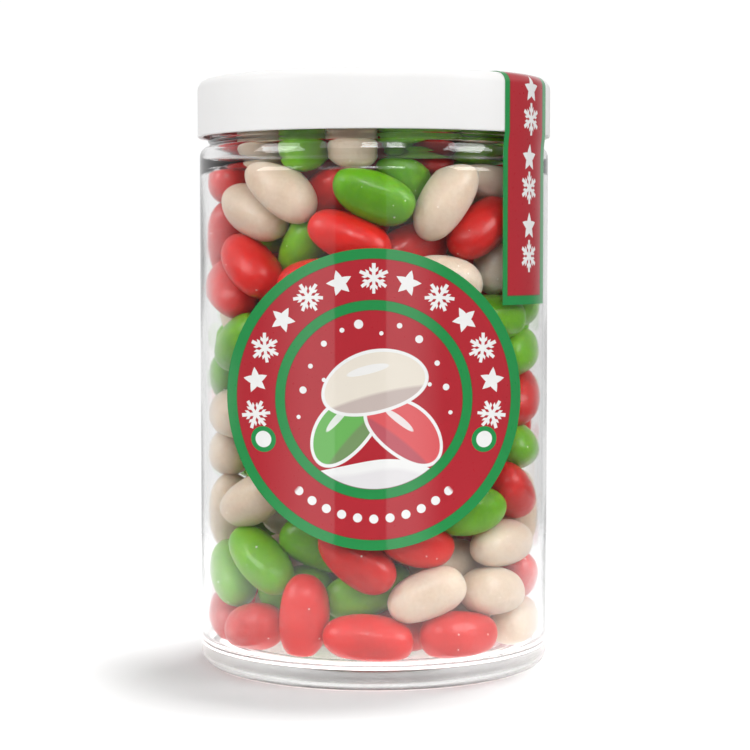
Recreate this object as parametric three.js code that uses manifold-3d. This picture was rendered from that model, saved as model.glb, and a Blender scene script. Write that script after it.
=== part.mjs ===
// A straight-sided screw-top jar of jelly beans: the clear blown jar, its white screw lid, the heap of beans
// that fills it, a round label on the front and a seal strip that ties the lid to the jar.
// Millimetres, +Z up. The origin is the middle of the base, and the front label faces -Y.
import * as THREE from "three";
import { mergeVertices } from "three/addons/utils/BufferGeometryUtils.js";
import Module from "manifold-3d";

// Driving dimensions.
const SEGMENTS = 48; // facets round every turned piece, so that neighbours share the same edges
const CLEARANCE = 0.3; // left between pieces that touch in the real object
const FILM_GAP = 0.06; // glue under the label and the strip
const FILM = 0.2; // thickness of the printed film

const JAR = { radius: 46, rim: 151.8, wall: 1.3, heel: 1.8 };
const BASE = { floor: 5, innerHeel: 4, ringInner: 38, recess: 1.6, pushUp: 2.4, dome: 0.6 };
const NECK = { radius: 43.4, wall: 2, bottom: 136.5, ring: 137.7, ringBulge: 0.4 };
const SHOULDER = { bend: 3.1, innerBottom: 130.4, innerTop: 136 };
const LID = { radius: 46.5, top: 153.7, bottom: 138.8, wall: 1.5, plate: 1.6, edge: 2.6 };
const THREAD = { bead: 0.8, pitch: 6, start: 143.4, turns: 1 };
const LABEL = { radius: 37.1, centre: 72.6 };
const STRIP = { width: 21.5, azimuth: 57.9, bottom: 95.5, overTop: 18, lift: 132.8 };
const BEAN = { length: 23, width: 12.6, rowPitch: 11.3, perRow: 12 };
const HEAP = { level: 150.8, topBeans: 26, sideRows: 24, topRings: 5, hollow: 3.4 };

const radians = THREE.MathUtils.degToRad;
const wasm = await Module();
wasm.setup();

// A closed geometry as a manifold-3d solid, and back.
function solidOf(geometry) {
  const bare = geometry.clone();
  bare.deleteAttribute("normal");
  bare.deleteAttribute("uv");
  const merged = mergeVertices(bare, 1e-4);
  return new wasm.Manifold(
    new wasm.Mesh({
      numProp: 3,
      vertProperties: merged.attributes.position.array,
      triVerts: new Uint32Array(merged.index.array),
    }),
  );
}

function geometryOf(solid) {
  const { vertProperties, triVerts } = solid.getMesh();
  const geometry = new THREE.BufferGeometry();
  geometry.setAttribute("position", new THREE.BufferAttribute(vertProperties, 3));
  geometry.setIndex(new THREE.BufferAttribute(triVerts, 1));
  geometry.computeVertexNormals();
  return geometry;
}

// Turns a profile of (radius, height) points about +Z. Azimuth 0 is -Y, and it grows towards +X.
function turned(points) {
  return new THREE.LatheGeometry(points, SEGMENTS).rotateX(Math.PI / 2);
}

function named(name, geometry, material) {
  const mesh = new THREE.Mesh(geometry, new THREE.MeshStandardMaterial(material));
  mesh.name = name;
  return mesh;
}

// One turn of screw thread: a round bead laid along a helix, half sunk in the wall of that radius.
function threadBead(radius, start) {
  class Helix extends THREE.Curve {
    getPoint(t, target = new THREE.Vector3()) {
      const angle = t * THREAD.turns * 2 * Math.PI;
      return target.set(
        radius * Math.sin(angle),
        -radius * Math.cos(angle),
        start + t * THREAD.turns * THREAD.pitch,
      );
    }
  }
  const section = new THREE.Shape().absarc(0, 0, THREAD.bead, 0, 2 * Math.PI);
  return new THREE.ExtrudeGeometry(section, { extrudePath: new Helix(), steps: 32, curveSegments: 3 });
}

// The jar: a thick pushed-up base on a flat standing ring, a thin straight wall, a rounded shoulder and a
// heavier neck with one turn of thread on the outside.
function jarProfile() {
  const inner = JAR.radius - JAR.wall;
  const neckInner = NECK.radius - NECK.wall;
  const lip = 0.5;
  const profile = new THREE.Path();
  profile.moveTo(0, BASE.pushUp);
  profile.lineTo(BASE.ringInner - BASE.recess, BASE.recess);
  profile.lineTo(BASE.ringInner, 0);
  profile.lineTo(JAR.radius - JAR.heel, 0);
  profile.absarc(JAR.radius - JAR.heel, JAR.heel, JAR.heel, -Math.PI / 2, 0);
  const bendCentre = NECK.bottom - SHOULDER.bend;
  const bendEnd = Math.acos((NECK.radius - JAR.radius + SHOULDER.bend) / SHOULDER.bend);
  profile.absarc(JAR.radius - SHOULDER.bend, bendCentre, SHOULDER.bend, 0, bendEnd);
  profile.lineTo(NECK.radius, NECK.ring - NECK.ringBulge);
  profile.lineTo(NECK.radius + NECK.ringBulge, NECK.ring);
  profile.lineTo(NECK.radius, NECK.ring + NECK.ringBulge);
  profile.lineTo(NECK.radius, JAR.rim - lip);
  profile.lineTo(NECK.radius - lip, JAR.rim);
  profile.lineTo(neckInner + lip, JAR.rim);
  profile.lineTo(neckInner, JAR.rim - lip);
  profile.lineTo(neckInner, SHOULDER.innerTop);
  const middle = (SHOULDER.innerTop + SHOULDER.innerBottom) / 2;
  profile.bezierCurveTo(neckInner, middle, inner, middle, inner, SHOULDER.innerBottom);
  profile.lineTo(inner, BASE.floor + BASE.innerHeel);
  profile.absarc(inner - BASE.innerHeel, BASE.floor + BASE.innerHeel, BASE.innerHeel, 0, -Math.PI / 2, true);
  profile.lineTo(0, BASE.floor + BASE.dome);
  return profile.getPoints(3);
}

function jar() {
  const body = solidOf(turned(jarProfile()));
  const thread = solidOf(threadBead(NECK.radius, THREAD.start));
  const geometry = geometryOf(body.add(thread));
  return named("jar", geometry, {
    color: 0xeef3f4,
    roughness: 0.05,
    metalness: 0,
    transparent: true,
    opacity: 0.3,
  });
}

// The lid: a plain smooth cap, one plate and one skirt, whose thread runs half a pitch below the neck's.
function lidProfile() {
  const skirtInner = LID.radius - LID.wall;
  const underside = LID.top - LID.plate;
  const chamfer = 0.6;
  const lip = 0.4;
  const profile = new THREE.Path();
  profile.moveTo(0, underside);
  profile.lineTo(skirtInner - chamfer, underside);
  profile.lineTo(skirtInner, underside - chamfer);
  profile.lineTo(skirtInner, LID.bottom + lip);
  profile.lineTo(skirtInner + lip, LID.bottom);
  profile.lineTo(LID.radius - lip, LID.bottom);
  profile.lineTo(LID.radius, LID.bottom + lip);
  profile.absarc(LID.radius - LID.edge, LID.top - LID.edge, LID.edge, 0, Math.PI / 2);
  profile.lineTo(0, LID.top);
  return profile.getPoints(3);
}

function lid() {
  const cap = solidOf(turned(lidProfile()));
  const thread = solidOf(threadBead(LID.radius - LID.wall, THREAD.start - THREAD.pitch / 2));
  return named("lid", geometryOf(cap.add(thread)), { color: 0xf1efee, roughness: 0.45, metalness: 0 });
}

// The label: the part of a thin sleeve round the jar that a round punch cuts out from the front, so it is
// a true circle when seen from the front.
function frontLabel() {
  const inner = JAR.radius + FILM_GAP;
  const low = LABEL.centre - LABEL.radius - 1;
  const high = LABEL.centre + LABEL.radius + 1;
  const corners = [
    [inner, low],
    [inner + FILM, low],
    [inner + FILM, high],
    [inner, high],
    [inner, low],
  ];
  const sleeve = solidOf(turned(corners.map(([r, z]) => new THREE.Vector2(r, z))));
  const reach = JAR.radius + 2;
  const punch = new THREE.CylinderGeometry(LABEL.radius, LABEL.radius, reach, SEGMENTS);
  punch.translate(0, -reach / 2, LABEL.centre);
  return named("front_label", geometryOf(sleeve.intersect(solidOf(punch))), {
    color: 0xc21f2f,
    roughness: 0.3,
    metalness: 0,
  });
}

// The seal strip: it runs up the wall, bridges the neck, climbs the skirt and folds flat over the lid.
function stripLine(lift) {
  const overLid = LID.radius + FILM_GAP + lift;
  const onJar = JAR.radius + FILM_GAP + lift;
  const line = new THREE.Path();
  line.moveTo(onJar, STRIP.bottom);
  line.lineTo(onJar, STRIP.lift);
  line.lineTo(overLid, LID.bottom);
  line.absarc(LID.radius - LID.edge, LID.top - LID.edge, LID.edge + FILM_GAP + lift, 0, Math.PI / 2);
  line.lineTo(LID.radius - STRIP.overTop, LID.top + FILM_GAP + lift);
  return line.getPoints(3);
}

function sealStrip() {
  const outside = stripLine(FILM);
  const inside = stripLine(0).reverse();
  const sheet = solidOf(turned([...outside, ...inside, outside[0]]));
  const reach = LID.radius + 2;
  const band = new THREE.BoxGeometry(STRIP.width, reach, LID.top + 2);
  band.translate(0, -reach / 2, LID.top / 2 + 1);
  band.rotateZ(radians(STRIP.azimuth));
  return named("seal_strip", geometryOf(sheet.intersect(solidOf(band))), {
    color: 0xc21f2f,
    roughness: 0.3,
    metalness: 0,
  });
}

// The beans: every bean of the outer layer is an ellipsoid lying against the wall, and the heap's skin is the
// outermost of them, seen from the axis on the side and from above on the top.
function wobble(i) {
  const s = Math.sin(i * 12.9898) * 43758.5453;
  return s - Math.floor(s);
}

function wallRadius(z) {
  const inner = JAR.radius - JAR.wall;
  const neckInner = NECK.radius - NECK.wall;
  const up = THREE.MathUtils.smoothstep(z, SHOULDER.innerBottom - 3, SHOULDER.innerTop - 1);
  const above = z - BASE.floor;
  const corner = above < BASE.innerHeel ? BASE.innerHeel - Math.sqrt(above * (2 * BASE.innerHeel - above)) : 0;
  return THREE.MathUtils.lerp(inner, neckInner, up) - corner - CLEARANCE;
}

function bean(centre, axis) {
  return { centre, axis: axis.normalize(), half: BEAN.length / 2, thick: BEAN.width / 2 };
}

function sideBeans() {
  const beans = [];
  const rows = Math.round((HEAP.level - BASE.floor) / BEAN.rowPitch);
  for (let row = 0; row < rows; row++) {
    for (let place = 0; place < BEAN.perRow; place++) {
      const i = row * BEAN.perRow + place;
      const z = BASE.floor + BEAN.rowPitch * (row + 0.5) + 3 * (wobble(i) - 0.5);
      const angle = ((place + 0.5 * row + 0.3 * wobble(i + 0.5)) * 2 * Math.PI) / BEAN.perRow;
      const tilt = 2.4 * (wobble(i + 0.25) - 0.5);
      const r = wallRadius(z) - BEAN.width / 2;
      beans.push(
        bean(
          new THREE.Vector3(r * Math.sin(angle), -r * Math.cos(angle), z),
          new THREE.Vector3(Math.cos(angle) * Math.cos(tilt), Math.sin(angle) * Math.cos(tilt), Math.sin(tilt)),
        ),
      );
    }
  }
  return beans;
}

function topBeans() {
  const golden = Math.PI * (3 - Math.sqrt(5));
  const edge = wallRadius(HEAP.level) - BEAN.width / 2;
  return Array.from({ length: HEAP.topBeans }, (_, i) => {
    const r = edge * Math.sqrt((i + 0.5) / HEAP.topBeans);
    const turn = 2 * Math.PI * wobble(i + 0.75);
    const z = HEAP.level - BEAN.width / 2 + 2 * (wobble(i + 0.1) - 0.5);
    return bean(
      new THREE.Vector3(r * Math.sin(i * golden), -r * Math.cos(i * golden), z),
      new THREE.Vector3(Math.cos(turn), Math.sin(turn), 0.3 * (wobble(i + 0.4) - 0.5)),
    );
  });
}

// How far along a ray the last bean's surface is, or least where no bean is met.
function outermost(origin, way, beans, least) {
  let found = least;
  for (const { centre, axis, half, thick } of beans) {
    const from = origin.clone().sub(centre);
    const stretch = 1 / (half * half) - 1 / (thick * thick);
    const along = (p, q) => p.dot(q) / (thick * thick) + p.dot(axis) * q.dot(axis) * stretch;
    const a = along(way, way);
    const b = along(from, way);
    const c = along(from, from) - 1;
    const inside = b * b - a * c;
    if (inside > 0) found = Math.max(found, (-b + Math.sqrt(inside)) / a);
  }
  return found;
}

function jellyBeans() {
  const low = BASE.floor + BASE.dome + CLEARANCE;
  const shelf = HEAP.level - HEAP.hollow;
  const rim = wallRadius(shelf) - 1;
  const profile = [new THREE.Vector2(0, low), new THREE.Vector2(wallRadius(low) - 1, low)];
  for (let i = 1; i <= HEAP.sideRows; i++) {
    const z = low + ((shelf - low) * i) / HEAP.sideRows;
    profile.push(new THREE.Vector2(wallRadius(z), z));
  }
  for (let i = HEAP.topRings - 1; i >= 0; i--) {
    profile.push(new THREE.Vector2((rim * i) / HEAP.topRings, HEAP.level));
  }
  const heap = turned(profile);
  const places = heap.getAttribute("position");
  const beans = [...sideBeans(), ...topBeans()];
  const up = new THREE.Vector3(0, 0, 1);
  const place = new THREE.Vector3();
  for (let i = 0; i < places.count; i++) {
    place.fromBufferAttribute(places, i);
    const { z } = place;
    if (z > shelf + 0.1) {
      const height = outermost(new THREE.Vector3(place.x, place.y, 0), up, beans, shelf);
      places.setZ(i, Math.min(height, LID.top - LID.plate - CLEARANCE));
    } else if (z > low + 0.1) {
      const wall = wallRadius(z);
      const way = new THREE.Vector3(place.x, place.y, 0).normalize();
      const reach = outermost(new THREE.Vector3(0, 0, z), way, beans, wall - HEAP.hollow);
      way.multiplyScalar(Math.min(reach, wall));
      places.setXY(i, way.x, way.y);
    }
  }
  return named("jelly_beans", geometryOf(solidOf(heap)), { color: 0xd8433c, roughness: 0.35, metalness: 0 });
}

const jarOfJellyBeans = new THREE.Group();
jarOfJellyBeans.add(jar(), lid(), jellyBeans(), frontLabel(), sealStrip());

export default jarOfJellyBeans;
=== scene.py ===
import math

import bmesh
import bpy
import numpy as np
from mathutils import Matrix, Vector, noise


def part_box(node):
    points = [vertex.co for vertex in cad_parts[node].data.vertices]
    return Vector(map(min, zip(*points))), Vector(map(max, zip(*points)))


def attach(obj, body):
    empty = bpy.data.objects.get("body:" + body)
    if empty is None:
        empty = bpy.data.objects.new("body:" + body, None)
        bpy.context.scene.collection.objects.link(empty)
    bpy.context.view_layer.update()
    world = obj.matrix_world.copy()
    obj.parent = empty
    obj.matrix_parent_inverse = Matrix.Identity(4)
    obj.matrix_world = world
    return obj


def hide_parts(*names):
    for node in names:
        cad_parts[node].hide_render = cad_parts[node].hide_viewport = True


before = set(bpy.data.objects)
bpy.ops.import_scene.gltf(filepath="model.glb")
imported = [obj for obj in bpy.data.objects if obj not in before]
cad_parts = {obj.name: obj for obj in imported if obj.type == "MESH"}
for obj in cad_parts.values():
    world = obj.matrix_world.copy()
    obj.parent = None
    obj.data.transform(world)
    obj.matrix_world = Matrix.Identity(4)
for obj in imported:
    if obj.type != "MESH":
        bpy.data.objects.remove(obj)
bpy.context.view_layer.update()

MM = 0.001


# The jar: blown from clear plastic in one piece, with a thin straight wall, a small rounded shoulder, a
# shorter and heavier neck, and a thick base that is pushed up inside a flat standing ring. Its profile is
# turned round the axis, and every corner is rounded as the mould rounds it.
class Value:
    """A number that varies over a surface. Sums and products of it add Math nodes to its material."""

    def __init__(self, tree, socket):
        self.tree, self.socket = tree, socket

    def maths(self, operation, *values):
        node = self.tree.nodes.new("ShaderNodeMath")
        node.operation = operation
        for port, value in zip(node.inputs, values):
            if isinstance(value, Value):
                self.tree.links.new(value.socket, port)
            else:
                port.default_value = value
        return Value(self.tree, node.outputs[0])

    def __add__(self, other):
        return self.maths("ADD", self, other)

    def __radd__(self, other):
        return self.maths("ADD", other, self)

    def __sub__(self, other):
        return self.maths("SUBTRACT", self, other)

    def __rsub__(self, other):
        return self.maths("SUBTRACT", other, self)

    def __mul__(self, other):
        return self.maths("MULTIPLY", self, other)

    def __rmul__(self, other):
        return self.maths("MULTIPLY", other, self)

    def __truediv__(self, other):
        return self.maths("DIVIDE", self, other)

    def __rtruediv__(self, other):
        return self.maths("DIVIDE", other, self)

    def __pow__(self, other):
        return self.maths("POWER", self, other)

    def __abs__(self):
        return self.maths("ABSOLUTE", self)

    def __neg__(self):
        return self.maths("MULTIPLY", self, -1.0)

    def root(self):
        return self.maths("SQRT", self)

    def cosine(self):
        return self.maths("COSINE", self)

    def sine(self):
        return self.maths("SINE", self)

    def floor(self):
        return self.maths("FLOOR", self)

    def lesser(self, other):
        return self.maths("MINIMUM", self, other)

    def greater(self, other):
        return self.maths("MAXIMUM", self, other)

    def within(self, edge, soft):
        """1 where this is under edge and 0 over it, with a change as wide as soft."""
        return ((edge - self) * (1.0 / soft) + 0.5).greater(0.0).lesser(1.0)


class Recipe:
    """A tree of shader nodes."""

    def __init__(self, tree):
        self.tree = tree

    def node(self, kind, settings=None, **sockets):
        """A node of any other kind. Settings are set first, then the values or links of its sockets."""
        node = self.tree.nodes.new("ShaderNode" + kind)
        for setting, value in (settings or {}).items():
            if setting == "stops":
                ramp = node.color_ramp.elements
                while len(ramp) < len(value):
                    ramp.new(1.0)
                for stop, (place, colour) in zip(ramp, value):
                    stop.position, stop.color = place, colour
            else:
                setattr(node, setting, value)
        for socket, value in sockets.items():
            port = node.inputs[int(socket[1:]) if socket[1:].isdigit() else socket.replace("_", " ")]
            self.join(value, port)
        return node

    def join(self, value, port):
        if isinstance(value, Value):
            self.tree.links.new(value.socket, port)
        elif isinstance(value, bpy.types.NodeSocket):
            self.tree.links.new(value, port)
        else:
            port.default_value = value

    def out(self, node, name):
        return Value(self.tree, node.outputs[name])


class Finish(Recipe):
    """One material: its tree, its Principled shader and the nodes that feed it."""

    def __init__(self, name, **constants):
        self.material = bpy.data.materials.new(name)
        self.material.use_nodes = True
        super().__init__(self.material.node_tree)
        self.shader = self.tree.nodes["Principled BSDF"]
        for socket, value in constants.items():
            self.shader.inputs[socket.replace("_", " ")].default_value = value

    def feed(self, socket, value):
        self.join(value, self.shader.inputs[socket])

    def place(self):
        """The surface's own coordinates, in metres."""
        return self.node("TexCoord").outputs["Object"]

    def axes(self, vector):
        parts = self.node("SeparateXYZ", Vector=vector)
        return [Value(self.tree, out) for out in parts.outputs]

    def mottle(self, vector, per_metre, detail=3.0, roughness=0.5):
        texture = self.node("TexNoise", Vector=vector, Scale=per_metre, Detail=detail, Roughness=roughness)
        return Value(self.tree, texture.outputs["Fac"])

    def blend(self, share, first, second):
        """A mix of two colours."""
        mix = self.node("Mix", {"data_type": "RGBA"}, _0=share, _6=first, _7=second)
        return mix.outputs[2]

    def relief(self, height, depth, strength=1.0, under=None):
        bump = self.node("Bump", Height=height, Distance=depth, Strength=strength)
        if under is not None:
            self.join(under, bump.inputs["Normal"])
        return bump.outputs["Normal"]


def turned(bm, corners, steps):
    """Turns a closed outline of (radius, height, rounding) corners round the axis, in millimetres."""
    outline = [bm.verts.new((radius * MM, 0.0, height * MM)) for radius, height, _ in corners]
    for first, second in zip(outline, outline[1:]):
        bm.edges.new((first, second))
    for corner, (_, _, rounding) in zip(outline, corners):
        if rounding:
            bmesh.ops.bevel(
                bm, geom=[corner], offset=rounding * MM, offset_type="OFFSET", segments=6, profile=0.5,
                affect="VERTICES", material=-1,
            )
    bmesh.ops.spin(
        bm, geom=bm.verts[:] + bm.edges[:], cent=(0, 0, 0), axis=(0, 0, 1), angle=2 * math.pi,
        steps=steps, use_merge=True,
    )
    bmesh.ops.remove_doubles(bm, verts=bm.verts[:], dist=0.002 * MM)
    bmesh.ops.recalc_face_normals(bm, faces=bm.faces[:])


SHARP = math.radians(50)  # edges that turn by less are shaded smooth


def made(name, bm, finish, slot, *nodes):
    """Makes the mesh a piece of the object that rides on its body and stands for those CAD nodes."""
    for face in bm.faces:
        face.smooth = True
    for edge in bm.edges:
        edge.smooth = edge.calc_face_angle(0.0) < SHARP
    mesh = bpy.data.meshes.new(name)
    bm.to_mesh(mesh)
    bm.free()
    piece = bpy.data.objects.new(name, mesh)
    bpy.context.scene.collection.objects.link(piece)
    mesh.materials.append(finish.material)
    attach(piece, "root")
    if nodes:
        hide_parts(*nodes)
    return piece


JAR_LOW, JAR_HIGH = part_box("jar")
WALL_OUT = JAR_HIGH.x / MM
WALL = 1.3
WALL_IN = WALL_OUT - WALL
FLOOR_TOP = 5.0
NECK_OUT = 43.4
NECK_IN = 41.4
SHOULDER_TOP = 136.5
RIM = JAR_HIGH.z / MM
FOOT_TOP, FOOT_FADE, FOOT_MATTING = 4.8, 2.0, 0.22  # the thick foot is a little duller than the wall
ROUND = 160

# radius, height and rounding of each corner, from the middle of the underside out, up and back inside
jar_outline = [
    (0.0, 2.4, 0),
    (14.0, 2.4, 0.6),
    (14.6, 1.9, 0.5),
    (36.2, 1.6, 0.5),
    (38.0, 0.0, 0.5),
    (42.0, 0.0, 0),
    (WALL_OUT, 0.0, 3.6),
    (WALL_OUT, SHOULDER_TOP, 3.0),
    (NECK_OUT, SHOULDER_TOP, 0.3),
    (NECK_OUT, 137.2, 0.2),
    (NECK_OUT + 0.45, 137.5, 0.3),
    (NECK_OUT + 0.45, 138.0, 0.3),
    (NECK_OUT, 138.3, 0.2),
    (NECK_OUT, RIM, 0.5),
    (NECK_IN, RIM, 0.5),
    (NECK_IN, 136.0, 1.6),
    (NECK_IN + 1.0, 134.4, 1.2),
    (WALL_IN - 1.6, 132.6, 0.7),
    (WALL_IN, 130.4, 1.8),
    (WALL_IN, FLOOR_TOP, 3.8),
    (36.0, FLOOR_TOP, 0.8),
    (34.5, FLOOR_TOP + 0.4, 0.8),
    (0.0, FLOOR_TOP + 0.6, 0),
]
bm = bmesh.new()
turned(bm, jar_outline, ROUND)
clear = Finish(
    "clear_jar_plastic",
    Base_Color=(0.99, 0.99, 0.99, 1), Roughness=0.03, IOR=1.5, Transmission_Weight=1.0,
)
place = clear.place()
wave = clear.mottle(place, 26.0, 1.0)
grain = clear.mottle(place, 210.0, 2.0)
clear.feed("Normal", clear.relief(wave * 3.0 + grain * 0.05, 0.08 * MM))
_, _, height = clear.axes(place)
foot = height.within(FOOT_TOP * MM, FOOT_FADE * MM)
clear.feed("Roughness", 0.02 + grain * 0.04 + foot * FOOT_MATTING)
# Lamps shine straight through the wall, while sight is bent by it.
lamp_ray = clear.node("LightPath").outputs["Is Shadow Ray"]
see_through = clear.node("BsdfTransparent", Color=(0.97, 0.975, 0.975, 1))
glassy = clear.node(
    "MixShader", _0=lamp_ray, _1=clear.shader.outputs["BSDF"], _2=see_through.outputs["BSDF"],
)
clear.join(glassy.outputs["Shader"], clear.tree.nodes["Material Output"].inputs["Surface"])
made("clear_jar", bm, clear, "jar_plastic", "jar")


# The lid: one moulded cap of white plastic with a flat plate, a softly rounded edge and a plain smooth
# skirt. It is screwed down over the neck, and its skirt ends just above the shoulder.
LID_LOW, LID_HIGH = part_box("lid")
LID_OUT = LID_HIGH.x / MM
LID_TOP = LID_HIGH.z / MM
LID_BOTTOM = LID_LOW.z / MM
LID_WALL = 1.5
LID_PLATE = 1.6
LID_EDGE = 2.6
LID_DISH = 0.25
LID_RIM = 38.0

bm = bmesh.new()
turned(
    bm,
    [
        (0.0, LID_TOP - LID_PLATE, 0),
        (LID_OUT - LID_WALL, LID_TOP - LID_PLATE, 0.6),
        (LID_OUT - LID_WALL, LID_BOTTOM, 0.4),
        (LID_OUT, LID_BOTTOM, 0.4),
        (LID_OUT, LID_TOP, LID_EDGE),
        (LID_RIM, LID_TOP, 0.8),
        (LID_RIM - 0.8, LID_TOP - LID_DISH, 0.6),
        (0.0, LID_TOP - LID_DISH, 0),
    ],
    ROUND,
)
white_cap = Finish(
    "white_lid_plastic",
    Base_Color=(0.82, 0.81, 0.80, 1), Roughness=0.42, Subsurface_Weight=0.12, Subsurface_Scale=1.5 * MM,
    Subsurface_Radius=(1.0, 0.9, 0.8), Specular_IOR_Level=0.4,
)
place = white_cap.place()
cloud = white_cap.mottle(place, 60.0)
spark = white_cap.mottle(place, 2600.0, 2.0)
white_cap.feed("Base Color", white_cap.blend(cloud, (0.875, 0.865, 0.855, 1), (0.905, 0.90, 0.895, 1)))
white_cap.feed("Roughness", 0.38 + cloud * 0.1)
white_cap.feed("Normal", white_cap.relief(spark * 0.3 + cloud, 0.06 * MM))
made("screw_lid", bm, white_cap, "lid_plastic", "lid")


# The jelly beans: a polished sugar shell round a soft middle, cast in starch, so each is a little different
# in length, bend and fullness. They were poured in and lie as they fell, pressed against the wall. The ones
# in view are listed one by one, the others are strewn round them, and then all of them push each other apart.
BEAN_LENGTH = 23.0
BEAN_WIDTH = 12.6
BEAN_DEPTH = 12.0
HEAP_BOTTOM = FLOOR_TOP + 0.1
HEAP_TOP = LID_TOP - LID_PLATE - 0.4
CORE_RADIUS = 20.0
CORE_BOTTOM = 18.0
CORE_TOP = 137.0
RED, GREEN, WHITE = range(3)

# Azimuth from the front in degrees, height in millimetres, lean from level in degrees, colour and how far
# the bean lies in from the wall in millimetres.
shown_beans = [
    (-86, 125, 0, RED, 0), (-43, 125, -35, WHITE, 0), (-55, 113, -20, WHITE, 5), (-87, 111, 62, RED, 0),
    (-55, 105, -26, RED, 0), (-70, 115, 5, GREEN, 9), (-21, 125, 12, RED, 8), (0, 123, -36, GREEN, 0),
    (15, 127, -70, GREEN, 5), (26, 120, 52, WHITE, 0), (56, 127, -20, WHITE, 4), (41, 114, 28, RED, 1),
    (14, 112, 10, RED, 8), (-9, 113, -25, RED, 0), (-27, 109, 40, GREEN, 8), (-24, 103, 20, RED, 1),
    (-69, 98, 0, RED, 0), (-48, 98, 0, RED, 4), (28, 105, -24, WHITE, 0), (55, 107, 65, WHITE, 1),
    (52, 96, -35, GREEN, 0), (82, 94, 0, GREEN, 0), (72, 84, -15, GREEN, 0), (76, 71, 60, RED, 0),
    (74, 58, 0, GREEN, 0), (64, 46, -12, RED, 0), (74, 38, -40, RED, 5), (39, 41, 20, GREEN, 1),
    (54, 32, -3, WHITE, 0), (86, 36, 70, WHITE, 0), (20, 36, -5, RED, 1), (-3, 33, -35, RED, 0),
    (36, 28, 10, WHITE, 7), (-25, 33, -15, GREEN, 9), (-2, 23, 12, GREEN, 9), (-46, 29, -42, GREEN, 0),
    (-73, 24, -45, GREEN, 0), (-26, 17, 86, RED, 0), (0, 12, 0, RED, 0), (24, 20, 37, WHITE, 0),
    (48, 21, -18, WHITE, 1), (36, 11, -4, RED, 0), (80, 23, -12, RED, 1), (72, 11, 10, WHITE, 0),
    (14, 11, 0, RED, 8), (-54, 12, 15, RED, 0), (-86, 13, -15, RED, 0), (-40, 19, 0, GREEN, 8),
    (-38, 12, 60, GREEN, 9), (-53, 45, 30, WHITE, 0), (-85, 40, 70, WHITE, 0), (-70, 51, 0, GREEN, 7),
    (-82, 57, 10, WHITE, 0), (-78, 69, -20, WHITE, 0), (-86, 79, 10, GREEN, 0), (-66, 87, 35, GREEN, 0),
    (-99, 86, 0, GREEN, 0), (-88, 92, -20, WHITE, 1), (-72, 138, 0, RED, 0), (-47, 141, 80, WHITE, 0),
    (-32, 141, 72, GREEN, 0), (-14, 142, -76, WHITE, 0), (0, 140, 80, RED, 4), (21, 137, 3, GREEN, 0),
    (49, 137, 5, GREEN, 0),
]
DEEP_IN = 4  # a bean further from the wall than this may lie anyhow
FIRM, LOOSE = 1.0, 0.7

# While they settle, a bean is five balls in a row: how far along it each lies, and its radius.
STATIONS = np.array([-6.4, -3.3, 0.0, 3.3, 6.4])
GIRTHS = np.array([4.9, 5.95, 6.15, 5.95, 4.9])
NARROWING_LOW = 129.0
NARROWING_RISE = 6.0
chance = np.random.default_rng(7)


def wall_at(height):
    """The inside radius of the jar at that height."""
    narrowing = np.clip((height - NARROWING_LOW) / NARROWING_RISE, 0.0, 1.0)
    return WALL_IN - (WALL_IN - NECK_IN) * narrowing


def laid(azimuth, height, lean, inset):
    """The middle and the direction of a bean that lies flat along the wall."""
    turn, rise = math.radians(azimuth), math.radians(lean)
    reach = wall_at(height) - GIRTHS.max() - inset
    middle = (reach * math.sin(turn), -reach * math.cos(turn), height)
    along = (math.cos(turn) * math.cos(rise), math.sin(turn) * math.cos(rise), math.sin(rise))
    return middle, along


middles, leanings, colours, held = [], [], [], []
for azimuth, height, lean, colour, inset in shown_beans:
    middle, along = laid(azimuth, height, lean, inset)
    middles.append(middle)
    leanings.append(along)
    colours.append(colour)
    held.append(FIRM if inset < DEEP_IN else LOOSE)


def crowding(middle, along):
    """How deep a new bean would sit in the ones that are already there, at its worst."""
    ours = np.array(middle) + np.outer(STATIONS, along)
    theirs = np.array(middles)[:, None] + np.array(leanings)[:, None] * STATIONS[:, None]
    near = np.linalg.norm(np.array(middles) - middle, axis=1) < BEAN_LENGTH
    if not near.any():
        return 0.0
    theirs = theirs[near].reshape(-1, 1, 3)
    apart = np.linalg.norm(theirs - ours, axis=2)
    touching = np.tile(GIRTHS, near.sum())[:, None] + GIRTHS
    return float((touching - apart).max())


COLOUR_SHARES = [0.38, 0.31, 0.31]


def strewn(nearest, furthest, tries, patience):
    """Drops beans at random between two distances from the wall, wherever they overlap less than patience."""
    for _ in range(tries):
        azimuth = chance.uniform(0, 360)
        height = chance.uniform(HEAP_BOTTOM + 6, HEAP_TOP - 6)
        lean = chance.normal(0, 38)
        inset = chance.uniform(nearest, furthest)
        middle, along = laid(azimuth, height, lean, inset)
        if inset > DEEP_IN:
            along = chance.normal(size=3)
            along = along / np.linalg.norm(along)
        if crowding(middle, along) < patience:
            middles.append(tuple(middle))
            leanings.append(tuple(along))
            colours.append(int(chance.choice([RED, GREEN, WHITE], p=COLOUR_SHARES)))
            held.append(0.0)


strewn(nearest=0.0, furthest=1.5, tries=2600, patience=1.6)
strewn(nearest=10.0, furthest=18.0, tries=3000, patience=2.0)
middles, leanings, held = np.array(middles), np.array(leanings), np.array(held)
home, home_leanings = middles.copy(), leanings.copy()

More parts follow.
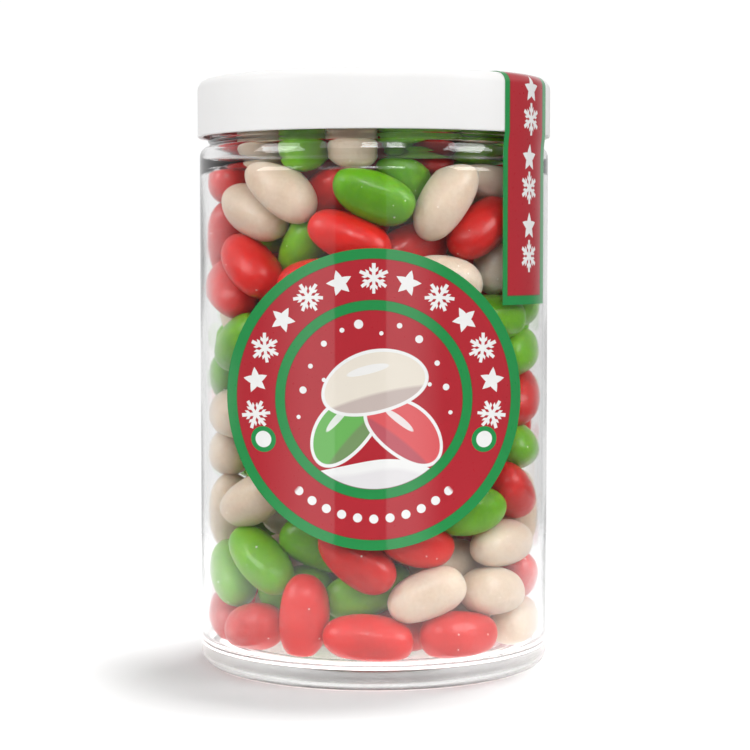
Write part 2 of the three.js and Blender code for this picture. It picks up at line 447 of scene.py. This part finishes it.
# First the beans are shaken together, held near their places, and then they are left to ease apart.
TINY = 1e-9
SETTLING, SHAKEN, CALMED = 360, 220, 320  # steps in all, the steps of shaking, and when the pushes weaken
PUSH_SHARE, LAST_PUSH_SHARE = 0.55, 0.35  # how much of a push is made in one step
PULL_HOME, LAST_PULL_HOME = 0.22, 0.006  # how much of the way back to its place, while shaken and after
LAST_TURN_HOME = 0.02
SLUGGISHNESS = 42.0  # how hard a bean is to turn
SPREADING, SINKING = 0.03, 0.015  # millimetres outwards and down in one step of shaking
WALL_MARGIN, BASE_MARGIN, LID_MARGIN = 0.4, 0.9, 0.3  # a finished bean is a little fuller than its balls
RAISED_RADIUS, RAISED_BY = 36.0, 0.5  # the base's inner face is higher in its middle
for step in range(SETTLING):
    if step % 8 == 0:
        apart = np.linalg.norm(middles[:, None] - middles[None], axis=2)
        first, second = np.nonzero(np.triu(apart < BEAN_LENGTH + 2, 1))
    balls = middles[:, None] + leanings[:, None] * STATIONS[:, None]
    between = balls[first][:, :, None] - balls[second][:, None]
    distance = np.linalg.norm(between, axis=3) + TINY
    depth = np.maximum(GIRTHS[:, None] + GIRTHS - distance, 0.0)
    share = depth / (depth.sum(axis=(1, 2), keepdims=True) + TINY)
    push = between / distance[..., None] * (0.5 * depth * share)[..., None]
    pushes = np.zeros_like(balls)
    np.add.at(pushes, first, push.sum(2))
    np.add.at(pushes, second, -push.sum(1))

    outward = balls[..., :2]
    radius = np.linalg.norm(outward, axis=2) + TINY
    past_wall = np.maximum(radius + GIRTHS + WALL_MARGIN - wall_at(balls[..., 2]), 0.0)
    in_core = np.maximum(CORE_RADIUS + GIRTHS - radius, 0.0)
    in_core *= (balls[..., 2] > CORE_BOTTOM) & (balls[..., 2] < CORE_TOP)
    pushes[..., :2] += outward / radius[..., None] * (0.5 * in_core - 0.9 * past_wall)[..., None]
    lowest = HEAP_BOTTOM + BASE_MARGIN + RAISED_BY * (radius < RAISED_RADIUS) + GIRTHS
    pushes[..., 2] += 0.7 * np.maximum(lowest - balls[..., 2], 0.0)
    pushes[..., 2] -= 0.7 * np.maximum(balls[..., 2] + GIRTHS - HEAP_TOP + LID_MARGIN, 0.0)

    calm = PUSH_SHARE if step < CALMED else LAST_PUSH_SHARE
    middles = middles + calm * pushes.sum(1)
    swing = pushes - leanings[:, None] * (pushes * leanings[:, None]).sum(2, keepdims=True)
    leanings = leanings + calm * (swing * STATIONS[:, None]).sum(1) / SLUGGISHNESS

    hold = held * (PULL_HOME if step < SHAKEN else LAST_PULL_HOME)
    middles = middles + hold[:, None] * (home - middles)
    hold = np.maximum(hold, held * LAST_TURN_HOME)
    leanings = leanings + hold[:, None] * (home_leanings - leanings)
    leanings = leanings / np.linalg.norm(leanings, axis=1, keepdims=True)
    if step < SHAKEN:
        side = middles[:, :2] / (np.linalg.norm(middles[:, :2], axis=1, keepdims=True) + TINY)
        middles[:, :2] = middles[:, :2] + SPREADING * side * (held == 0)[:, None]
        middles[:, 2] = middles[:, 2] - SINKING

bean_blank = bmesh.new()
bmesh.ops.create_cube(bean_blank, size=2.0)
bmesh.ops.subdivide_edges(bean_blank, edges=bean_blank.edges[:], cuts=2, use_grid_fill=True)
for vert in bean_blank.verts:
    vert.co.normalize()
blank_mesh = bpy.data.meshes.new("bean_blank")
bean_blank.to_mesh(blank_mesh)
bean_blank.free()
CAGE = 1.085  # the smoothed bean lies this much inside its cage
SQUARENESS = 2.15
SHORTEST, LONGEST = 20.5, 25.0
LUMPINESS = 0.045

piles = [bmesh.new() for _ in range(3)]
tints = [pile.verts.layers.float.new("tint") for pile in piles]
for number, (middle, along, colour) in enumerate(zip(middles, leanings, colours)):
    pile = piles[colour]
    before = len(pile.verts)
    pile.from_mesh(blank_mesh)
    pile.verts.ensure_lookup_table()
    fresh = pile.verts[before:]
    long = BEAN_LENGTH * (1.0 + 0.05 * chance.standard_normal())
    wide = BEAN_WIDTH * (1.0 + 0.025 * chance.standard_normal())
    deep = BEAN_DEPTH * (1.0 + 0.03 * chance.standard_normal())
    long = min(max(long, SHORTEST), LONGEST)
    bend = chance.uniform(0.2, 1.0)
    taper = chance.uniform(-0.10, 0.10)
    tint = chance.uniform(0.0, 1.0)
    seed = Vector((number * 3.1, number * 1.7, number * 0.9))
    outward = Vector((middle[0], middle[1], 0.0)).normalized()
    lengthwise = Vector(along).normalized()
    roll = chance.uniform(-0.6, 0.6) + (math.pi if chance.random() < 0.5 else 0.0)
    across = outward.cross(lengthwise).normalized()
    across = Matrix.Rotation(roll, 3, lengthwise) @ across
    upward = lengthwise.cross(across)
    for vert in fresh:
        x, girth = vert.co.x, math.hypot(vert.co.y, vert.co.z)
        fullness = (abs(x) ** SQUARENESS + girth ** SQUARENESS) ** (-1.0 / SQUARENESS)
        lump = 1.0 + LUMPINESS * noise.noise(vert.co * 1.3 + seed)
        scale = CAGE * fullness * lump
        end = x * fullness
        swell = 1.0 + taper * end
        place = (
            lengthwise * (0.5 * long * x * scale)
            + across * (0.5 * wide * vert.co.y * scale * swell + bend * (end * end - 0.4))
            + upward * (0.5 * deep * vert.co.z * scale * swell)
        )
        vert.co = (Vector(middle) + place) * MM
        vert[tints[colour]] = tint

# name, body colour, colour of the pale bits, colour of the deep ones, how far each light spreads inside
candies = [
    ("red_beans", (0.66, 0.008, 0.004, 1), (0.79, 0.021, 0.012, 1), (0.46, 0.004, 0.002, 1),
        (1.0, 0.2, 0.14)),
    ("green_beans", (0.165, 0.42, 0.002, 1), (0.26, 0.52, 0.008, 1), (0.09, 0.28, 0.001, 1),
        (0.55, 1.0, 0.12)),
    ("white_beans", (0.69, 0.565, 0.45, 1), (0.81, 0.71, 0.60, 1), (0.58, 0.455, 0.34, 1),
        (1.0, 0.75, 0.6)),
]
BARE_SHARE = 0.78  # of the sugar grains, only the others show as pale specks, which also serve as painted glints
for pile, (name, body, pale, deep, spread) in zip(piles, candies):
    candy = Finish(
        name + "_candy",
        Roughness=0.3, Subsurface_Weight=1.0, Subsurface_Radius=spread, Subsurface_Scale=9.0 * MM,
        Specular_IOR_Level=0.28, Coat_Weight=0.26, Coat_Roughness=0.12,
    )
    place = candy.place()
    tint = Value(candy.tree, candy.node("Attribute", {"attribute_name": "tint"}).outputs["Fac"])
    cloud = candy.mottle(place, 120.0, 2.0)
    fine = candy.mottle(place, 1100.0, 3.0)
    pits = candy.mottle(place, 420.0, 1.0)
    colour = candy.blend((cloud * 1.5 - 0.45 + tint * 0.6).greater(0.0).lesser(1.0), deep, body)
    colour = candy.blend((fine * 1.6 - 0.8 + tint * 0.3).greater(0.0).lesser(1.0) * 0.5, colour, pale)
    cells = candy.node("TexVoronoi", Vector=place, Scale=380.0)
    dot = Value(candy.tree, cells.outputs["Distance"]).within(0.10, 0.05)
    pick = candy.axes(cells.outputs["Color"])[0]
    speck_and_glint = dot * (1.0 - pick.within(BARE_SHARE, 0.02))
    # Pale specks mixed into the colour: partly sugar grains, partly painted glints that stand for sparkles in
    # a highlight.
    colour = candy.blend(speck_and_glint * 0.6, colour, (0.95, 0.88, 0.8, 1))
    candy.feed("Base Color", colour)
    candy.feed("Roughness", 0.26 + cloud * 0.12 + fine * 0.08)
    candy.feed("Normal", candy.relief(cloud * 1.0 + pits * 0.32 + fine * 0.10 + speck_and_glint * 0.16, 0.45 * MM))
    stands_for = ["jelly_beans"] if name == "red_beans" else []
    beans = made(name, pile, candy, "bean_candy", *stands_for)
    smooth = beans.modifiers.new("smooth", "SUBSURF")
    smooth.levels = smooth.render_levels = 2

# The middle of the heap: more of the same beans, which only show as colour in the gaps between the outer
# ones. It is one lumpy body in dull reds and greens, well in from the wall.
CORE_LUMPS = 0.10
LONG_EDGE = 60 * MM
bm = bmesh.new()
core_outline = [
    (0.0, 20.0, 0), (16.0, 20.0, 4.0), (18.5, 26.0, 4.0), (18.5, 130.0, 5.0), (14.0, 136.0, 2.0),
    (0.0, CORE_TOP, 0),
]
turned(bm, core_outline, 48)
uprights = [edge for edge in bm.edges if abs(edge.verts[0].co.z - edge.verts[1].co.z) > LONG_EDGE]
bmesh.ops.subdivide_edges(bm, edges=uprights, cuts=24)
for vert in bm.verts:
    outward = Vector((vert.co.x, vert.co.y, 0.0))
    vert.co += outward * CORE_LUMPS * noise.noise(vert.co * 130.0)
core = Finish("heap_core_candy", Roughness=0.5, Specular_IOR_Level=0.3)
place = core.place()
patch = core.mottle(place, 70.0, 1.0)
patches = (patch * 5.0 - 2.2).greater(0.0).lesser(1.0)
colour = core.blend(patches, (0.55, 0.03, 0.02, 1), (0.30, 0.22, 0.08, 1))
core.feed("Base Color", colour)
core.feed("Normal", core.relief(patch, 2.0 * MM))
made("bean_core", bm, core, "bean_candy")


# The front label: a sticker of glossy printed film, stuck to the wall and bent with it, and cut so that it
# looks round from the front. Its print is green rings round a red band of white snow shapes and dots, with
# three beans on snow in the middle.
LABEL_LOW, LABEL_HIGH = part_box("front_label")
LABEL_RADIUS = (LABEL_HIGH.z - LABEL_LOW.z) / 2
LABEL_MIDDLE = (LABEL_HIGH.z + LABEL_LOW.z) / 2
LABEL_GAP = 0.05 * MM
FILM = 0.15 * MM


def thickened(bm, outward):
    """Gives the sheet its thickness, on the side that faces away from the jar."""
    bmesh.ops.recalc_face_normals(bm, faces=bm.faces[:])
    if sum(face.normal.dot(outward) for face in bm.faces) > 0:
        bmesh.ops.reverse_faces(bm, faces=bm.faces[:])
    bmesh.ops.solidify(bm, geom=bm.faces[:], thickness=FILM)
    bmesh.ops.recalc_face_normals(bm, faces=bm.faces[:])


def bent_to_wall(bm, gap):
    """Bends a flat upright sheet back onto the jar's wall."""
    reach = WALL_OUT * MM + gap
    for vert in bm.verts:
        vert.co.y = -math.sqrt(reach ** 2 - vert.co.x ** 2)


LABEL_RINGS = 15
bm = bmesh.new()
bmesh.ops.create_circle(bm, segments=128, radius=LABEL_RADIUS, cap_ends=True)
for _ in range(LABEL_RINGS):
    disc = [face for face in bm.faces if len(face.verts) > 4]
    bmesh.ops.inset_region(
        bm, faces=disc, thickness=LABEL_RADIUS / (LABEL_RINGS + 1.5), use_even_offset=True, use_boundary=True,
    )
disc = [face for face in bm.faces if len(face.verts) > 4]
bmesh.ops.poke(bm, faces=disc)
bmesh.ops.rotate(bm, verts=bm.verts[:], cent=(0, 0, 0), matrix=Matrix.Rotation(math.pi / 2, 3, "X"))
bmesh.ops.translate(bm, verts=bm.verts[:], vec=(0, 0, LABEL_MIDDLE))
bent_to_wall(bm, LABEL_GAP)
thickened(bm, Vector((0, -1, 0)))

INK_RED = (0.49, 0.011, 0.024, 1)
INK_GREEN = (0.006, 0.29, 0.062, 1)
INK_WHITE = (0.97, 0.97, 0.96, 1)
INK_CREAM = (0.90, 0.83, 0.72, 1)
INK_SHADE = (0.66, 0.60, 0.66, 1)
INK_ROSE = (0.80, 0.11, 0.12, 1)
INK_LEAF = (0.16, 0.50, 0.11, 1)
INK_OVERLAP = (0.10, 0.035, 0.012, 1)
OVERPRINT = 0.6  # how dark the hairlines are where green and red ink overlap


def mitred(finish, angle, parts):
    """Folds an angle, counted in turns, into one of that many equal sectors, from -0.5 to 0.5 of one."""
    turns = angle * parts
    return turns - (turns + 0.5).floor()


def polar(finish, x, y):
    """The distance from the middle, and the angle in turns."""
    angle = finish.node("Math", {"operation": "ARCTAN2"}, _0=x, _1=y)
    return (x * x + y * y).root(), Value(finish.tree, angle.outputs[0]) * (0.5 / math.pi)


def star(finish, x, y, size, soft):
    """A five-pointed star of that outer radius."""
    distance, angle = polar(finish, x, y)
    notch = abs(mitred(finish, angle, 5)) * 2.0
    edge = 1.0 / ((1.0 - notch) * (1.0 / size) + notch * (1.0 / (0.48 * size)))
    return (distance - edge).within(0.0, soft)


def flake(finish, x, y, size, stroke, soft):
    """A six-armed snowflake with one pair of twigs on each arm."""
    distance, angle = polar(finish, x, y)
    sector = mitred(finish, angle, 6) * (math.pi / 3)
    forward = distance * sector.cosine()
    sideways = abs(distance * sector.sine())
    arm = sideways.within(stroke / 2, soft) * forward.within(size, soft)
    slope = math.radians(50)
    twig = abs((forward - 0.42 * size) * math.sin(slope) - sideways * math.cos(slope))
    twigs = twig.within(stroke * 0.4, soft) * sideways.within(0.27 * size, soft)
    return arm.greater(twigs).greater(distance.within(0.24 * size, soft))


def oval(x, y, across, up, half_long, half_wide, tilt, soft):
    """A bean-like oval, and how far across it each place is."""
    c, s = math.cos(math.radians(tilt)), math.sin(math.radians(tilt))
    along = ((x - across) * c + (y - up) * s) * (1.0 / half_long)
    beside = ((y - up) * c - (x - across) * s) * (1.0 / half_wide) + along * along * 0.16
    reach = (along * along + beside * beside).root()
    return reach.within(1.0, soft / half_wide), beside


print_label = Finish(
    "label_print_film",
    Roughness=0.3, Specular_IOR_Level=0.2, Coat_Weight=1.0, Coat_IOR=2.25, Coat_Roughness=0.05,
)
place = print_label.place()
x, _, z = print_label.axes(place)
x = x * (1.0 / LABEL_RADIUS)
y = (z - LABEL_MIDDLE) * (1.0 / LABEL_RADIUS)
# All the sizes below are parts of the label's radius.
SOFT = 0.003
OUTER_RING, INNER_RING, FIELD = 0.93, 0.66, 0.592
BAND_MIDDLE = 0.802
MOTIFS = 22
BEADS, BEAD_PLACE, BEAD_SIZE = 46, 0.79, 0.030
BUTTON_ACROSS, BUTTON_DOWN, BUTTON_SIZE, BUTTON_INSIDE = 0.742, 0.28, 0.087, 0.055
out, turn = polar(print_label, x, y)
colour = print_label.blend(out.within(OUTER_RING, SOFT), INK_GREEN, INK_RED)
step = mitred(print_label, turn, MOTIFS)
seat = (turn * MOTIFS + 0.5).floor()
odd = abs(seat - (seat * 0.5).floor() * 2.0)
sideways = step * (2 * math.pi / MOTIFS) * BAND_MIDDLE
upward = out - BAND_MIDDLE
top_arc = abs(turn).within(0.295, 0.004)
flakes = flake(print_label, sideways, upward, 0.100, 0.022, SOFT) * (1.0 - odd)
stars = star(print_label, sideways, upward, 0.088, SOFT) * odd
colour = print_label.blend((flakes + stars) * top_arc, colour, INK_WHITE)
bead = mitred(print_label, turn, BEADS) * (2 * math.pi / BEADS) * BEAD_PLACE
bead_reach = (bead * bead + (out - BEAD_PLACE) * (out - BEAD_PLACE)).root()
bottom_arc = 1.0 - abs(turn).within(0.388, 0.004)
colour = print_label.blend(bead_reach.within(BEAD_SIZE, SOFT) * bottom_arc, colour, INK_WHITE)
button = abs(x) - BUTTON_ACROSS
button_reach = (button * button + (y + BUTTON_DOWN) * (y + BUTTON_DOWN)).root()
colour = print_label.blend(button_reach.within(BUTTON_SIZE, SOFT), colour, INK_GREEN)
colour = print_label.blend(button_reach.within(BUTTON_INSIDE, SOFT), colour, INK_WHITE)
colour = print_label.blend(out.within(INNER_RING, SOFT), colour, INK_GREEN)
inside = INK_RED
snow = [  # across, up, size
    (-0.10, 0.50, 0.030), (-0.21, 0.46, 0.016), (-0.33, 0.37, 0.020), (-0.42, 0.22, 0.016),
    (-0.47, 0.06, 0.024), (0.17, 0.49, 0.018), (0.30, 0.40, 0.026), (0.42, 0.24, 0.018), (0.48, 0.08, 0.022),
    (0.37, 0.10, 0.014), (-0.33, 0.13, 0.014), (0.05, 0.44, 0.014), (-0.50, -0.12, 0.014),
    (0.51, -0.09, 0.014),
]
fall = None
for across, up, size in snow:
    gap = ((x - across) * (x - across) + (y - up) * (y - up)).root().within(size, SOFT)
    fall = gap if fall is None else fall.greater(gap)
inside = print_label.blend(fall, inside, INK_WHITE)
mound = (y + 0.40 + x * x * 0.5 - (x * 7.0).sine() * 0.02).within(0.0, SOFT)
mound_shade = (y + 0.47 + x * x * 0.35 - (x * 9.0).sine() * 0.02).within(0.0, 0.03)
for across, up, half_long, half_wide, tilt, ink in [
    (-0.20, -0.19, 0.27, 0.155, 48.0, INK_LEAF),
    (0.21, -0.20, 0.28, 0.16, -38.0, INK_ROSE),
    (0.0, 0.12, 0.34, 0.19, 14.0, INK_CREAM),
]:
    edge, _ = oval(x, y, across, up, half_long + 0.022, half_wide + 0.022, tilt, SOFT)
    inside = print_label.blend(edge, inside, INK_WHITE)
    bean, beside = oval(x, y, across, up, half_long, half_wide, tilt, SOFT)
    shaded = print_label.blend(beside.within(-0.42, 0.12) * 0.42, ink, (0.25, 0.10, 0.16, 1))
    inside = print_label.blend(bean, inside, shaded)
    gleam, _ = oval(
        x, y, across - 0.04, up + 0.42 * half_wide, 0.42 * half_long, 0.15 * half_wide, tilt, SOFT,
    )
    inside = print_label.blend(gleam * 0.85, inside, INK_WHITE)
inside = print_label.blend(mound, inside, INK_WHITE)
inside = print_label.blend(mound_shade * 0.35, inside, INK_SHADE)
colour = print_label.blend(out.within(FIELD, SOFT), colour, inside)
ring_edges = abs(out - OUTER_RING).lesser(abs(out - INNER_RING)).lesser(abs(out - FIELD))
overlap = ring_edges.within(0.003, SOFT)
colour = print_label.blend(overlap * OVERPRINT, colour, INK_OVERLAP)
print_label.feed("Base Color", colour)
tooth = print_label.mottle(place, 1500.0, 2.0)
print_label.feed("Roughness", 0.25 + tooth * 0.08)
print_label.feed("Normal", print_label.relief(tooth, 0.004 * MM))
made("front_sticker", bm, print_label, "label_film", "front_label")


# The seal strip: a narrow strip of the same printed film that ties the lid to the jar. It is stuck to the
# wall, bridges the neck, climbs the skirt and folds over the lid's edge onto its plate.
STRIP_LOW, STRIP_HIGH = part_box("seal_strip")
STRIP_AZIMUTH = math.radians(57.9)
STRIP_WIDTH = 21.5
STRIP_BOTTOM = STRIP_LOW.z / MM
STRIP_LIFT = 132.8
STRIP_OVER = 18.0
STRIP_GAP = 0.06

# The strip's middle line, as radius and height: up the wall, over the neck, up the skirt and over the edge.
path = [(WALL_OUT + STRIP_GAP, STRIP_BOTTOM + (STRIP_LIFT - STRIP_BOTTOM) * i / 16) for i in range(17)]
path += [
    (WALL_OUT + 0.1, 134.6),
    (WALL_OUT + 0.28, 136.8),
    (LID_OUT + STRIP_GAP, LID_BOTTOM),
]
SKIRT = LID_TOP - LID_EDGE - LID_BOTTOM
path += [(LID_OUT + STRIP_GAP, LID_BOTTOM + SKIRT * i / 6) for i in range(1, 7)]
for i in range(1, 9):
    fold = math.radians(90 * i / 8)
    path.append((
        LID_OUT - LID_EDGE + (LID_EDGE + STRIP_GAP) * math.cos(fold),
        LID_TOP - LID_EDGE + (LID_EDGE + STRIP_GAP) * math.sin(fold),
    ))
path += [(LID_OUT - LID_EDGE - (STRIP_OVER - LID_EDGE) * i / 6, LID_TOP + STRIP_GAP) for i in range(1, 7)]
strides = [math.dist(a, b) for a, b in zip(path, path[1:])]
lengths = [sum(strides[:i]) for i in range(len(path))]

bm = bmesh.new()
printed = bm.loops.layers.uv.new("print")
bmesh.ops.create_grid(bm, x_segments=14, y_segments=len(path) - 1, size=0.5, calc_uvs=True)
radial = Vector((math.sin(STRIP_AZIMUTH), -math.cos(STRIP_AZIMUTH), 0.0))
tangent = Vector((math.cos(STRIP_AZIMUTH), math.sin(STRIP_AZIMUTH), 0.0))
for vert in bm.verts:
    row = round((vert.co.y + 0.5) * (len(path) - 1))
    reach, height = path[row]
    beside = vert.co.x * STRIP_WIDTH
    forward = math.sqrt(reach ** 2 - beside ** 2)
    for loop in vert.link_loops:
        loop[printed].uv = (vert.co.x, lengths[row] / STRIP_WIDTH)
    vert.co = (radial * forward + tangent * beside + Vector((0, 0, height))) * MM
thickened(bm, radial)

print_strip = Finish(
    "strip_print_film",
    Roughness=0.3, Specular_IOR_Level=0.2, Coat_Weight=1.0, Coat_IOR=2.25, Coat_Roughness=0.05,
)
place = print_strip.place()
uv = print_strip.node("UVMap", {"uv_map": "print"}).outputs["UV"]
x, y, _ = print_strip.axes(uv)
# All the sizes below are parts of the strip's width, but for the three borders, which are in millimetres.
SOFT = 0.01
LEFT_BORDER, RIGHT_BORDER, END_BORDER = 1.7, 2.9, 2.3
inner = (x + 0.5 - LEFT_BORDER / STRIP_WIDTH).lesser(0.5 - x - RIGHT_BORDER / STRIP_WIDTH)
inner = inner.lesser(y - END_BORDER / STRIP_WIDTH)
border = inner.within(0.0, SOFT)
overlap = abs(inner).within(0.008, SOFT)
GROUP = 0.805
FIRST = 0.75
seat = (y - FIRST) * (1.0 / GROUP)
upward = (seat - (seat + 0.5).floor()) * GROUP
run = y.within(FIRST + 2.5 * GROUP, SOFT) * (1.0 - y.within(FIRST - 0.5 * GROUP, SOFT))
middle = x - 0.03
flakes = flake(print_strip, middle, upward + 0.18, 0.19, 0.045, SOFT)
stars = star(print_strip, middle, upward - 0.17, 0.165, SOFT)
colour = print_strip.blend((flakes + stars) * run, INK_RED, INK_WHITE)
colour = print_strip.blend(border, colour, INK_GREEN)
colour = print_strip.blend(overlap * OVERPRINT, colour, INK_OVERLAP)
print_strip.feed("Base Color", colour)
tooth = print_strip.mottle(place, 1500.0, 2.0)
print_strip.feed("Roughness", 0.25 + tooth * 0.08)
print_strip.feed("Normal", print_strip.relief(tooth, 0.004 * MM))
made("seal_strip_film", bm, print_strip, "strip_film", "seal_strip")


# The studio: a round of pale paper whose far edge fades out of sight, in a room that is bright overhead and
# behind, dim round the camera and lit softly on both sides, where the label mirrors it as two pale bands. The
# lamps hang high over the front, the sides and the back. One of them lights the paper only, for its shadow.
ROOM_DARK, ROOM_TOP, ROOM_BACK, ROOM_PANELS = 0.12, 0.34, 0.85, 0.42
FLOOR_SOLID = 0.155
FLOOR_END = 0.25
FLOOR_BACK = 0.04
bm = bmesh.new()
bmesh.ops.create_circle(bm, segments=96, radius=FLOOR_END, cap_ends=True)
bmesh.ops.translate(bm, verts=bm.verts[:], vec=(0, FLOOR_BACK, 0))
floor_mesh = bpy.data.meshes.new("studio_floor")
bm.to_mesh(floor_mesh)
bm.free()
floor = bpy.data.objects.new("studio_floor", floor_mesh)
bpy.context.scene.collection.objects.link(floor)
paper = Finish("studio_paper", Base_Color=(0.72, 0.72, 0.72, 1), Roughness=0.95, Specular_IOR_Level=0.0)
x, y, _ = paper.axes(paper.place())
back = y - FLOOR_BACK
fade = ((x * x + back * back).root() - FLOOR_SOLID) * (1.0 / (FLOOR_END - FLOOR_SOLID))
clear_paper = paper.node("BsdfTransparent")
# The paper under the jar glows: a disc of painted light that makes the clear base look bright from below.
PAINTED_GLOW_RADIUS = 43 * MM
painted_glow = ((x * x + y * y).root() - PAINTED_GLOW_RADIUS).within(0.0, 1.0 * MM)
paper.feed("Emission Color", paper.blend(painted_glow, (0, 0, 0, 1), (1.10, 1.00, 0.98, 1)))
paper.shader.inputs["Emission Strength"].default_value = 1.0
faded = paper.node(
    "MixShader", _0=fade.greater(0.0).lesser(1.0), _1=paper.shader.outputs["BSDF"],
    _2=clear_paper.outputs["BSDF"],
)
paper.join(faded.outputs["Shader"], paper.tree.nodes["Material Output"].inputs["Surface"])
floor_mesh.materials.append(paper.material)

world = bpy.data.worlds.new("studio_world")
bpy.context.scene.world = world
world.use_nodes = True
room = Recipe(world.node_tree)
way = room.node("SeparateXYZ", Vector=room.node("TexCoord").outputs["Generated"])


def ramped(source, start, end, low, high):
    """A brightness that goes softly from low to high as the direction's part goes from start to end."""
    span = room.node(
        "MapRange", {"interpolation_type": "SMOOTHSTEP"},
        _0=source, From_Min=start, From_Max=end, To_Min=low, To_Max=high,
    )
    return room.out(span, "Result")


overhead = ramped(abs(room.out(way, "Z")), 0.07, 0.50, ROOM_DARK, ROOM_TOP)
behind = ramped(room.out(way, "Y") - room.out(way, "X") * 0.25, 0.32, 0.98, ROOM_DARK, ROOM_BACK)
beside = abs(room.out(way, "X") + 0.143)
panels = ramped(beside, 0.268, 0.288, 0.0, 1.0) * ramped(beside, 0.50, 1.05, 1.0, 0.0)
panels = panels * ramped(room.out(way, "Y"), -0.3, 0.1, ROOM_PANELS, 0.0)
sky = room.node("Background", Color=(1, 1, 1, 1), Strength=overhead.greater(behind).greater(panels))
backdrop = room.node("Background", Color=(1, 1, 1, 1), Strength=1.02)
# Only the camera sees the backdrop, straight or through the glass. Everything else sees the room.
sight = room.node("LightPath")
mirrored = room.out(sight, "Glossy Depth")
in_wall = room.out(sight, "Transmission Depth").within(2.5, 0.5) * (1.0 - mirrored.within(1.5, 0.5))
unmirrored = 1.0 - mirrored.lesser(1.0)
unscattered = 1.0 - room.out(sight, "Diffuse Depth").lesser(1.0)
through = room.out(sight, "Is Transmission Ray") * unscattered * unmirrored.greater(in_wall)
straight = through.greater(room.out(sight, "Is Camera Ray"))
seen = room.node("MixShader", _0=straight, _1=sky.outputs[0], _2=backdrop.outputs[0])
room.join(seen.outputs[0], world.node_tree.nodes["World Output"].inputs["Surface"])


def lamp(name, place, size, watts):
    light = bpy.data.lights.new(name, "AREA")
    light.shape = "RECTANGLE"
    light.size, light.size_y = size
    light.energy = watts
    thing = bpy.data.objects.new(name, light)
    bpy.context.scene.collection.objects.link(thing)
    thing.location = place
    thing.rotation_euler = (Vector((0, 0, 0.08)) - Vector(place)).to_track_quat("-Z", "Y").to_euler()
    return thing


fill = lamp("over_the_front", (-0.12, -0.80, 0.52), (0.90, 0.36), 2.05)
fill.visible_glossy = False
lamp("front_spot_left", (-0.04, -0.78, 0.56), (0.15, 0.15), 0.85)
lamp("front_spot_right", (0.20, -0.74, 0.56), (0.15, 0.15), 0.7)
lamp("high_left", (-0.78, -0.30, 0.50), (0.45, 0.40), 3.0)
lamp("high_right", (0.78, -0.30, 0.50), (0.45, 0.40), 3.4)
lamp("key_overhead", (0.10, 0.145, 1.00), (0.22, 0.22), 1.6)
floor_key = lamp("floor_key", (0.10, 0.145, 1.00), (0.22, 0.22), 8.9)
paper_only = bpy.data.collections.new("paper_only")
paper_only.objects.link(floor)
floor_key.light_linking.receiver_collection = paper_only

scene = bpy.context.scene
scene.view_settings.view_transform = "Standard"
scene.view_settings.look = "None"
scene.view_settings.exposure = 0.0

EYE_HEIGHT = 0.1083
EYE_DISTANCE = 0.559
PITCH_DOWN = 3.3
camera = bpy.data.cameras.new("camera")
camera.sensor_width = 36.0
camera.lens = 100.8
camera.clip_start, camera.clip_end = 0.01, 20.0
eye = bpy.data.objects.new("camera", camera)
scene.collection.objects.link(eye)
eye.location = (0.0003, -EYE_DISTANCE, EYE_HEIGHT)
eye.rotation_euler = (math.radians(90 - PITCH_DOWN), 0.0, 0.0)
scene.camera = eye
